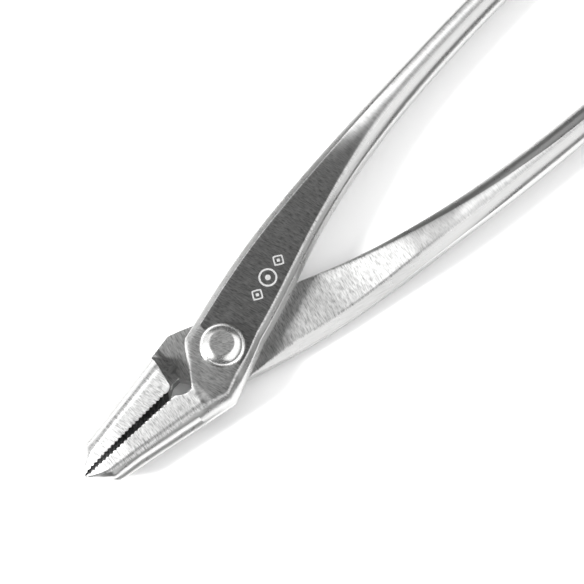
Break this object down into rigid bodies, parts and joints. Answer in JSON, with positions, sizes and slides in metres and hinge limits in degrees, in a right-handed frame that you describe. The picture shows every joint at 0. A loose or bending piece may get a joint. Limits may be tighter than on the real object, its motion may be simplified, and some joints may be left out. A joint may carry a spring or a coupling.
{
  "type": "wire pliers",
  "caption": "Stainless steel pliers with short serrated tapering jaws, a half-lapped riveted joint and long slim rod handles.",
  "frame": {"origin": "on the pivot axis, at the flat face of the rear rivet head, which is the face the tool lies on", "axes": "+X along the tool's centre line from the pivot to the handle ends, +Z along the pivot axis to the domed front rivet head, +Y to the side of the upper lever's handle"},
  "size_m": [0.205, 0.045, 0.013],
  "materials": {
    "lever_steel": "cross-brushed flats with polished bevels and lengthwise-ground rods",
    "rivet_steel": "turned and polished dome, flat ground on top"
  },
  "bodies": {
    "lower": {"lower_lever": "lever_steel", "pivot_rivet": "rivet_steel"},
    "upper": {"upper_lever": "lever_steel"}
  },
  "joints": [
    {"name": "pivot", "type": "hinge", "parent": "lower", "child": "upper", "pos_m": [0, 0, 0.0057], "axis": [0, 0, 1], "range_deg": [0, 40]}
  ]
}
